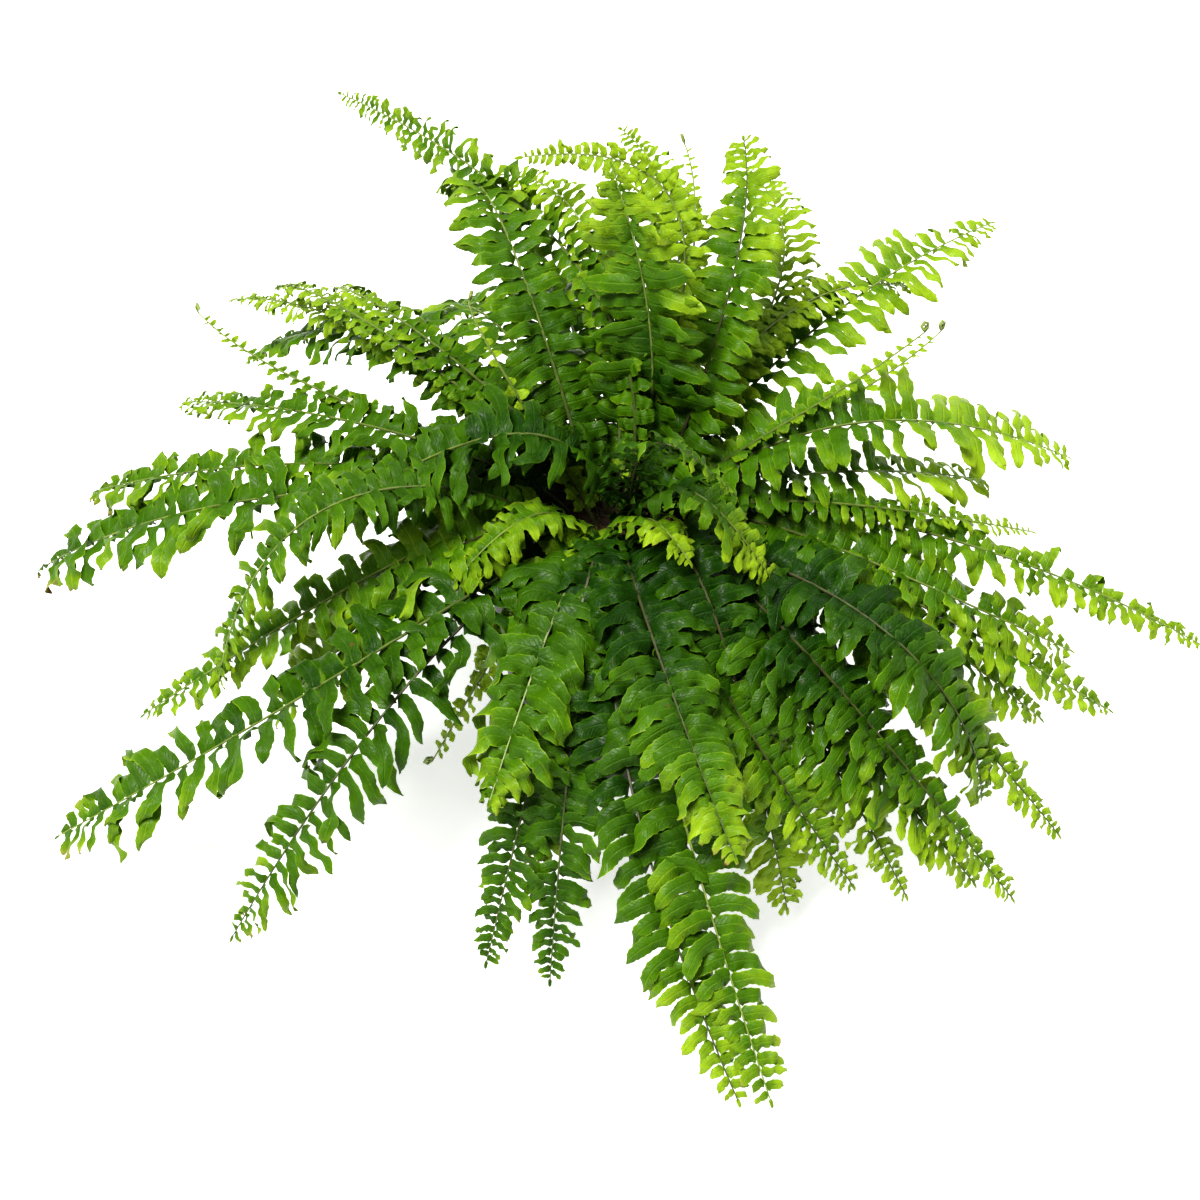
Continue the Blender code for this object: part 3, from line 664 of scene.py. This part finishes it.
def leafWidth(t, s, roundness):  # half the outline's width, from root to tip, as a share of the full half
    spec = leafletSet
    start = spec["stalk"] + (1 - spec["stalk"]) * min(1, t / spec["rootLength"]) ** spec["rootCurve"]
    blunt = along(spec["narrowFrom"], roundness)
    first, second = spec["narrowCurves"]
    end = 1 if t < blunt else max(0.0, 1 - ((t - blunt) / (1 - blunt)) ** first) ** second
    lobe = spec["ear"] * math.exp(-(((t - spec["earPlace"]) / spec["earSpread"]) ** 2))
    ear = lobe if s > 0 else 0
    return max(spec["narrowest"], start * end * (1 + ear) * along(spec["taper"], t))


def aboveFloor(point):  # a leaflet that reaches the floor lies on it
    edge = leafletSet["settle"]
    if point.z < edge:
        low = leafletSet["lowest"]
        point.z = low + (edge - low) * math.exp((point.z - edge) / (edge - low))
    return point


def placeAlong(step, steps):
    return 1 - (1 - min(1, step / steps)) ** leafletSet["rowCurve"]


def leafletSpine(root, axes, length, steps, ways, hand):  # at each row: place, width and upper face
    out, ahead, face = axes
    spine = []
    point = root.copy()
    down = -ways["weight"] * up
    for step in range(steps + 1):
        t, after = placeAlong(step, steps), placeAlong(step + 1, steps)
        flatWay = turned(out, ahead, ways["hook"] * t**1.4)
        raised = turned(flatWay, face, ways["lift"] - ways["bend"] * t**1.35)
        way = (raised + t**2.2 * down).normalized()
        wide = (ahead - ahead.dot(way) * way).normalized()
        over = hand * way.cross(wide)
        turn = ways["tilt"] + ways["twist"] * t
        spine.append((point.copy(), turned(wide, over, turn), turned(over, -wide, turn)))
        point = point + way * (length * (after - t))
    return spine


def addLeaflet(bm, lookLayer, root, axes, size, ways, hand, look, rng):
    spec = leafletSet
    length, width = size
    tone, dry = look
    steps, columns = next(grid[1:] for grid in spec["grids"] if length < grid[0])
    spine = leafletSpine(root, axes, length, steps, ways, hand)
    made = bmesh.ops.create_grid(bm, x_segments=steps, y_segments=columns, size=0.5, calc_uvs=True)["verts"]
    for face in {face for vert in made for face in vert.link_faces}:
        face.material_index = 1 if face.calc_center_median().y > 0 else 0
    jitter = {}
    for vert in made:
        step = round((vert.co.x + 0.5) * steps)
        t = placeAlong(step, steps)
        s, layer = bladeCorner(round((vert.co.y + 0.5) * columns) / columns)
        s *= hand
        spot, wide, over = spine[step]
        half = 0.5 * width * leafWidth(t, s, ways["roundness"])
        if abs(s) == 1 and 0 < step < steps:
            if (step, s) not in jitter:
                jitter[step, s] = ways["tooth"] * rng.uniform(-0.4, 0.4)
            half *= 1 + ways["tooth"] * (1 if step % 2 else -1) + jitter[step, s]
        swing = math.tau * (ways["waves"] * t + ways["phase"]) + 0.6 * s  # the edges are a little out of step
        wave = ways["wave"] * abs(s) * math.sin(swing)
        lifted = width * (wave - ways["cup"] * s * s * 0.5) + 0.5 * spec["thick"] * layer
        lead = spec["corner"] * length * s * t**5
        vert.co = aboveFloor(spot + s * half * wide + lifted * over + lead * axes[0])
        # painted light in part: each leaflet grows lighter towards its end and its edges, partly as young
        # growth, partly as lit ends and margins with light shining through
        freshAndLit = ways["freshAndLit"] * t + 0.06 * abs(s)
        vert[lookLayer] = (min(1, max(0, tone + freshAndLit)), dry * t * t, 0, 1)


growth = {
    "missing": 0.015,  # share of leaflets that have dropped
    "missingUntil": 0.9,
    "otherHand": 0.42,  # how far on, in steps, the leaflets of the other side stand
    "firstSize": (0.55, 1.9), "fullUntil": 0.42, "shrinkOver": 0.58, "shrinkBy": 0.82,
    "shortest": 0.0022, "youngShortest": 0.0030, "youngSize": (0.95, -0.72), "youngWidth": 0.84,
    "widthLimits": (0.29, 0.50),  # of the length
    "inRib": 0.3,  # where a leaflet starts, in the rib's radii from its middle
    "partCurl": (0.45, 0.95), "smallCurl": (0.45, 0.55),
    "rolled": 0.18,  # share of leaflets that roll right over
    "rolledCurl": 2.0,
    "fullMotion": 0.016,  # shorter leaflets curl and wave less
    "twistSpread": 19,
    "tipTone": (0.35, 0.65, 1.2),  # where it starts, over how much of the frond it grows, and how; the rise to the lighter tip tone is partly painted light
    # painted shade: leaves darker near the crown, up to this share of the frond, by this much
    "crownShade": (0.3, -0.10), "toneSpread": 0.035, "dryTip": (0.86, 0.14),
    "browning": (0, 0, 0, 0, 0.35),
}
endLeaflet = {
    "back": 0.001, "size": (0.006, 0.0024),
    # its tone rises a little towards its end, partly painted light
    "ways": {"lift": 0.0, "tilt": 0.0, "bend": 0.5, "hook": 0.0, "twist": 0.0, "cup": 0.1, "wave": 0.05,
             "tooth": 0.0, "waves": 1.5, "phase": 0.2, "weight": 0.5, "roundness": 0.4, "freshAndLit": 0.1},
}


def leafletExtent(name, frond, part, step, rng):  # length and width
    spec = growth
    longest = frond.leaflet / 1000
    drawn = rng.uniform(0.78, 1.08)  # for grown fronds only
    if name in youngFronds:
        size = along(spec["youngSize"], part)
        length = max(spec["youngShortest"], longest * size * rng.uniform(0.85, 1.1))
        return length, spec["youngWidth"] * length
    plain, blunt, full = frondSet["bluntness"]
    bluntness = full if name in fullFronds else blunt if name in bluntFronds else plain
    past = max(0, part - spec["fullUntil"]) / spec["shrinkOver"]
    size = min(1, along(spec["firstSize"], part)) * (1 - spec["shrinkBy"] * past**bluntness)
    length = max(spec["shortest"], longest * (size * drawn))
    wideShare, narrowShare = leafletSet["widthShare"]
    share = (wideShare + (narrowShare - wideShare) * part) * rng.uniform(0.88, 1.10)
    least, most = spec["widthLimits"]
    width = min(max(share * step, least * length), most * length)
    return length, width * slimFronds.get(name, 1.0)


def leafletWays(frond, part, small, young, rng):  # how a leaflet lies, curls and waves
    spec = growth
    base = leafletSet
    curl = frond.curl * along(spec["partCurl"], part) * rng.uniform(0.6, 1.4)
    if rng.random() < spec["rolled"] * frond.ruffle:
        curl *= spec["rolledCurl"]
    curl *= along(spec["smallCurl"], small)
    turning = (0.4 + 0.6 * frond.ruffle) * (0.6 + 0.8 * part * small)
    limp = small * frond.curl**1.5 * (0.4 + 0.8 * part)
    return {
        "tilt": base["tilt"] * rng.uniform(0.2, 1.6),
        "cup": base["cup"] * small,
        "lift": base["lift"] * rng.uniform(0.2, 1.7),
        "bend": base["bend"] * curl,
        "hook": base["hook"] * frond.ruffle**2 * rng.uniform(-0.1, 1.9),
        "twist": math.radians(rng.gauss(0, spec["twistSpread"])) * turning,
        "tooth": base["tooth"] * small,
        "wave": base["wave"] * small * frond.ruffle**0.5 * rng.uniform(0.6, 1.3),
        "waves": rng.uniform(1.3, 2.7),
        "phase": rng.random(),
        "weight": base["droop"] * limp * rng.uniform(0.1, 1.4),
        "roundness": 1.0 if young else rng.uniform(0.10, 0.46) + 0.45 * (1 - small),
        # partly young growth, partly painted light on the leaflet's outer parts
        "freshAndLit": (0.12 + 0.24 * part) * rng.uniform(0.5, 1.4),
    }


def leafletLook(frond, part, dryTip, rng):  # tone and dryness; the tone holds painted shade near the crown and painted light towards the tip
    start, span, curve = growth["tipTone"]
    tone = frond.tone + (frond.tipTone - frond.tone) * max(0, (part - start) / span) ** curve
    shadeEnd, crownShade = growth["crownShade"]
    tone += crownShade * max(0, shadeEnd - part) + rng.gauss(0, growth["toneSpread"])
    dryStart, drySpan = growth["dryTip"]
    return tone, dryTip * max(0, (part - dryStart) / drySpan) + rng.choice(growth["browning"]) * part


def addLeaflets(bm, lookLayer, name, frond, rib, rng):
    spec = frondSet
    young = name in youngFronds
    dryTip = dryTips.get(name, 0.0)
    bare = spec["bareStalk"] * rib.leafy
    grownPitch = spec["pitch"] + spec["pitchPerLength"] * (frond.leaflet / 1000)
    pitch = (spec["youngPitch"] if young else grownPitch) * openFronds.get(name, 1.0)
    place = bare + spec["firstLeaflet"] * pitch
    end = spec["leafyEnd"][young] * rib.leafy
    first, last = spec["sweep"]
    while place < end:
        part = min(1.0, (place - bare) / (rib.leafy - bare))
        step = pitch * (1 - spec["closing"][young] * part ** spec["closingCurve"])
        for hand in (1, -1):
            spot = place + (0.0 if hand > 0 else growth["otherHand"] * step)
            if spot > end or (rng.random() < growth["missing"] and part < growth["missingUntil"]):
                continue
            root, (ahead, side, face) = rib.at(spot)
            size = leafletExtent(name, frond, part, step, rng)
            sweep = first + (last - first) * part ** spec["sweepCurve"] + math.radians(rng.uniform(-7, 7))
            out = turned(hand * side, ahead, sweep)
            forward = turned(ahead, -hand * side, sweep)
            small = min(1, size[0] / growth["fullMotion"])
            ways = leafletWays(frond, part, small, young, rng)
            look = leafletLook(frond, part, dryTip, rng)
            start = root + hand * growth["inRib"] * rib.radius(spot) * side
            addLeaflet(bm, lookLayer, start, (out, forward, face), size, ways, hand, look, rng)
        place += step
    if not young:  # the last leaflet points ahead
        root, axes = rib.at(rib.leafy - endLeaflet["back"])
        look = (frond.tipTone, dryTip)
        addLeaflet(bm, lookLayer, root, axes, endLeaflet["size"], endLeaflet["ways"], -1, look, rng)


def addTube(bm, lookLayer, stops, toneAt, radiusAt):
    steps, sides = len(stops) - 1, frondSet["stalkSides"]
    made = bmesh.ops.create_grid(bm, x_segments=steps, y_segments=sides, size=0.5, calc_uvs=True)["verts"]
    for vert in made:
        step = round((vert.co.x + 0.5) * steps)
        around = round((vert.co.y + 0.5) * sides) % sides
        distance, point, (_, side, face) = stops[step]
        angle = math.tau * around / sides
        groove = frondSet["groove"] * max(0, math.sin(angle)) ** frondSet["grooveCurve"]
        reach = radiusAt(distance) * (1 - groove)
        vert.co = point + reach * turned(side, face, angle)
        vert[lookLayer] = (toneAt(distance), 0, 0, 1)
    for face in {face for vert in made for face in vert.link_faces}:
        face.material_index = 2


def addStalk(bm, lookLayer, name, rib):
    spec = frondSet
    first, last = spec["stemTones"][name in darkShadedStems]
    thicken, thickest = spec["curlThicken"]
    stops = [(0.0, rib.points[0] - spec["stalkDepth"] * rib.aim, rib.frames[0])]
    count = spec["stalkSteps"][name in youngFronds]
    for step in range(count + 1):
        distance = rib.length * step / count
        stops.append((distance, *rib.at(distance)))

    def toneAt(distance):
        return first + (last - first) * (distance / rib.length) ** spec["stemToneCurve"]

    def radiusAt(distance):
        coiled = max(0, distance - rib.leafy) / spec["curlRadius"]
        return rib.radius(distance) * (1 + min(thickest, thicken * coiled))

    addTube(bm, lookLayer, stops, toneAt, radiusAt)


def growFrond(name, frond, rib, number, materials):
    bm = bmesh.new()
    bm.loops.layers.uv.new("UVMap")
    lookLayer = bm.verts.layers.float_color.new("leafLook")
    addLeaflets(bm, lookLayer, name, frond, rib, random.Random(frondSet["seed"] + number))
    addStalk(bm, lookLayer, name, rib)
    bmesh.ops.remove_doubles(bm, verts=bm.verts, dist=frondSet["weld"])
    openEdges = [edge for edge in bm.edges if edge.is_boundary]
    bmesh.ops.holes_fill(bm, edges=openEdges, sides=frondSet["stalkSides"])
    piece = finish("frond_" + name, bm, materials)
    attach(piece, "root")
    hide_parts(name)
    return piece


def growFronds():
    materials = [makeLeafMaterial("leafUpper"), makeLeafMaterial("leafUnder"), makeStemMaterial()]
    places = stalkPlaces()
    faces = 0
    for number, (name, frond) in enumerate(fronds.items()):
        rib = Rib(frond, places[name], name in youngFronds)
        piece = growFrond(name, frond, rib, number, materials)
        faces += len(piece.data.polygons)
    print("fronds grown:", len(fronds), "with", faces, "faces")


# Crown, soil and pot

potSet = {
    "height": 0.165, "baseRadius": 0.070, "topRadius": 0.095, "wall": 0.0025, "rimDepth": 0.028,
    "rimStep": 0.004, "underside": ((0, 0.0012), (0.052, 0.0012), (0.054, 0)),
    "footEdge": ((-0.001, 0), (0, 0.002)),  # from the base radius
    "rimEdge": ((-0.0008, -0.0268), (-0.0004, -0.004), (0, -0.003), (0, 0)),  # from the top's outer edge
    "beads": (0.020, 0.118),  # heights of two faint moulded beads
    "beadHalf": 0.0012, "beadRise": 0.0006, "rounding": 0.0010, "sides": 96, "sharpAngle": 40,
    "drains": 6, "drainRadius": 0.005, "drainRing": 0.048, "drainSides": 24,
}
soilSet = {
    "rise": 0.005, "riseCurve": 0.6, "gap": 0.0003, "rings": 22, "sides": 96, "bump": 0.0016,
    "edgeBump": (0.3, 4),  # share of the bump at the wall, and how fast it grows inwards
    "lumps": (70, 0.8, 2.1, 4),
    "grains": 260, "grainShare": 0.5, "hollowEdge": 0.004,
    "hollowDepth": 0.008,  # the crown sits in this hollow
    "seed": 41, "crumbs": 420, "crumbEdge": 0.004, "crumbSize": (0.0007, 0.0024),
    "crumbShape": (0.75, 1.25), "crumbSquash": ((0.8, 1.4), (0.7, 1.1), (0.5, 0.8)), "crumbLift": 0.25,
    "crumbSharpAngle": 30,
    "finish": {
        "ramp": ((0.30, (0.006, 0.004, 0.003)), (0.48, (0.022, 0.014, 0.009)),
                 (0.62, (0.052, 0.034, 0.021)), (0.80, (0.110, 0.078, 0.050))),
        "broadScale": 140, "fineScale": 980, "bump": 0.0012,
    },
}


def outerRadius(height):  # of the wall under the rim
    spec = potSet
    slope = (spec["topRadius"] - spec["rimStep"] - spec["baseRadius"]) / spec["height"]
    return spec["baseRadius"] + slope * height


def innerRadius(height):
    return outerRadius(height) - potSet["wall"]


def rounded(profile, radius, segments=4):  # a profile of (radius, height) with its inner corners rounded
    points = [Vector(spot) for spot in profile]
    made = [points[0]]
    for before, corner, after in zip(points, points[1:], points[2:]):
        reach = min(radius, 0.45 * (corner - before).length, 0.45 * (after - corner).length)
        start = corner + reach * (before - corner).normalized()
        end = corner + reach * (after - corner).normalized()
        for step in range(segments + 1):
            t = step / segments
            made.append((1 - t) ** 2 * start + 2 * t * (1 - t) * corner + t * t * end)
    return made + [points[-1]]


def turnProfile(profile, sides):
    bm = bmesh.new()
    points = [bm.verts.new((spot[0], 0, spot[1])) for spot in profile]
    edges = [bm.edges.new(pair) for pair in zip(points, points[1:])]
    line = points + edges
    bmesh.ops.spin(bm, geom=line, cent=(0, 0, 0), axis=(0, 0, 1), angle=math.tau, steps=sides, use_merge=True)
    bmesh.ops.remove_doubles(bm, verts=bm.verts, dist=1e-6)
    bmesh.ops.recalc_face_normals(bm, faces=bm.faces)
    return bm


def addCone(bm, sides, low, high, height):
    return bmesh.ops.create_cone(bm, cap_ends=True, segments=sides, radius1=low, radius2=high,
                                 depth=height)["verts"]


def potProfile():  # from the middle of the underside up the outside, over the rim and down the inside
    spec = potSet
    wall, height, band = spec["wall"], spec["height"], spec["height"] - spec["rimDepth"]
    profile = [*spec["underside"], *((spec["baseRadius"] + out, rise) for out, rise in spec["footEdge"])]
    for bead in spec["beads"]:
        low, high = bead - spec["beadHalf"], bead + spec["beadHalf"]
        profile.append((outerRadius(low), low))
        profile.append((outerRadius(bead) + spec["beadRise"], bead))
        profile.append((outerRadius(high), high))
    profile.append((outerRadius(band), band))
    profile += [(spec["topRadius"] + out, height + rise) for out, rise in spec["rimEdge"]]
    profile += [(innerRadius(height), height), (innerRadius(wall), wall), (0, wall)]
    return rounded(profile, spec["rounding"])


def makePot():
    spec = potSet
    wall = spec["wall"]
    bm = turnProfile(potProfile(), spec["sides"])
    pot = finish("pot_wall", bm, [makePotMaterial()], spec["sharpAngle"])
    cutters = []
    for number in range(spec["drains"]):
        angle = math.tau * (number + 0.5) / spec["drains"]
        hole = bmesh.new()
        addCone(hole, spec["drainSides"], spec["drainRadius"], spec["drainRadius"], 4 * wall)
        bmesh.ops.translate(hole, verts=hole.verts, vec=polar(spec["drainRing"], angle, wall / 2))
        cutter = finish(f"drain_{number}", hole, [])
        cutters.append(cutter)
        cut = pot.modifiers.new("drain", "BOOLEAN")
        cut.object = cutter
    graph = bpy.context.evaluated_depsgraph_get()
    cutMesh = bpy.data.meshes.new_from_object(pot.evaluated_get(graph))
    pot.modifiers.clear()
    pot.data = cutMesh
    for cutter in cutters:
        bpy.data.objects.remove(cutter)
    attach(pot, "root")
    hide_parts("pot")
    print("pot made:", len(pot.data.polygons), "faces")


def soilHeight(x, y):
    spec = soilSet
    radius = math.hypot(x, y)
    edge = crownSet["ground"] - spec["rise"]
    share = min(1, max(0, (innerRadius(edge) - radius) / (innerRadius(edge) - crownSet["radius"])))
    scale, *shape = spec["lumps"]
    lumps = noise.fractal(Vector((x, y, 0.3)) * scale, *shape)
    lumps += spec["grainShare"] * noise.noise(Vector((x, y, 1.7)) * spec["grains"])
    wallShare, growing = spec["edgeBump"]
    level = edge + spec["rise"] * share ** spec["riseCurve"]
    return level + spec["bump"] * lumps * min(1, growing * share + wallShare)


def makeSoil():
    spec = soilSet
    bottom = potSet["wall"] + spec["gap"]
    edge = crownSet["ground"] - spec["rise"]
    outside = innerRadius(edge) - spec["gap"]
    profile = [(0, bottom), (innerRadius(bottom) - spec["gap"], bottom), (outside, edge - 0.001)]
    for step in range(spec["rings"] + 1):
        profile.append((outside * (1 - step / spec["rings"]), edge))
    bm = turnProfile(profile, spec["sides"])
    for vert in bm.verts:
        if vert.co.z > edge - 0.0005:
            vert.co.z = soilHeight(vert.co.x, vert.co.y)
            if math.hypot(vert.co.x, vert.co.y) < crownSet["radius"] - spec["hollowEdge"]:
                vert.co.z -= spec["hollowDepth"]
    soilStuff = makeEarthMaterial("peatSoil", spec["finish"])
    soil = finish("soil_bed", bm, [soilStuff])
    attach(soil, "root")
    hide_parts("soil")

    rng = random.Random(spec["seed"])
    bm = bmesh.new()
    for _ in range(spec["crumbs"]):
        angle = rng.uniform(0, math.tau)
        radius = rng.uniform(crownSet["radius"], outside - spec["crumbEdge"])
        x, y = radius * math.cos(angle), radius * math.sin(angle)
        reach = rng.uniform(*spec["crumbSize"])
        made = bmesh.ops.create_icosphere(bm, subdivisions=1, radius=reach)["verts"]
        for vert in made:
            vert.co *= rng.uniform(*spec["crumbShape"])
        squash = Matrix.Diagonal((*(rng.uniform(*span) for span in spec["crumbSquash"]), 1))
        turn = Matrix.Rotation(rng.uniform(0, math.tau), 4, "Z")
        place = Matrix.Translation((x, y, soilHeight(x, y) + spec["crumbLift"] * reach))
        bmesh.ops.transform(bm, matrix=place @ turn @ squash, verts=made)
    crumbs = finish("soil_crumbs", bm, [soilStuff], spec["crumbSharpAngle"])
    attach(crumbs, "root")
    print("soil made")


def addStubs(bm, rng):  # ends of old stalks
    spec = crownSet["stub"]
    for _ in range(spec["count"]):
        angle, radius = rng.uniform(0, math.tau), rng.uniform(*spec["ring"])
        base = polar(radius, angle, crownHeight(radius) - spec["sink"])
        height = rng.uniform(*spec["height"])
        low, high = rng.uniform(*spec["low"]), rng.uniform(*spec["high"])
        made = addCone(bm, spec["sides"], low, high, height)
        axis = Vector((-math.sin(angle), math.cos(angle), 0))
        lean = Matrix.Rotation(rng.uniform(*spec["lean"]), 4, axis)
        lift = Matrix.Translation(base) @ lean @ Matrix.Translation((0, 0, height / 2))
        bmesh.ops.transform(bm, matrix=lift, verts=made)


def addScales(bm, rng):  # the chaff between the stalks
    spec = crownSet["scale"]
    for _ in range(spec["count"]):
        angle, radius = rng.uniform(0, math.tau), spec["ring"] * math.sqrt(rng.random())
        base = polar(radius, angle, crownHeight(radius) - spec["sink"])
        height = rng.uniform(*spec["height"])
        made = addCone(bm, spec["sides"], rng.uniform(*spec["low"]), spec["high"], height)
        leanAngle = rng.uniform(*spec["lean"])
        axis = Vector((rng.uniform(-1, 1), rng.uniform(-1, 1), 0.01)).normalized()
        lean = Matrix.Translation(base) @ Matrix.Rotation(leanAngle, 4, axis)
        turn = Matrix.Rotation(rng.uniform(0, math.tau), 4, "Z")
        flat = Matrix.Diagonal((1, spec["flatness"], 1, 1)) @ Matrix.Translation((0, 0, height / 2))
        bmesh.ops.transform(bm, matrix=lean @ turn @ flat, verts=made)


def makeCrown():
    spec = crownSet
    floor = spec["ground"] - spec["sink"]
    outside = spec["radius"] - spec["gap"]
    profile = [(0, floor), (outside, floor)]
    for step in range(spec["rings"] + 1):
        radius = outside * (1 - step / spec["rings"])
        profile.append((radius, crownHeight(radius)))
    bm = turnProfile(profile, spec["sides"])
    scale, *shape = spec["lumps"]
    for vert in bm.verts:
        if vert.co.z > floor + 0.002:
            lumps = noise.fractal(Vector((vert.co.x, vert.co.y, 0.5)) * scale, *shape)
            vert.co.z += spec["bump"] * lumps
    rng = random.Random(spec["seed"])
    addStubs(bm, rng)
    addScales(bm, rng)
    crown = finish("crown_mound", bm, [makeEarthMaterial("crownBark", spec["finish"])])
    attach(crown, "root")
    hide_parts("crown")
    print("crown made:", len(crown.data.polygons), "faces")


makeCamera()
makeLights()
makeFloor()
makePot()
makeSoil()
growFronds()
makeCrown()
bpy.context.view_layer.update()
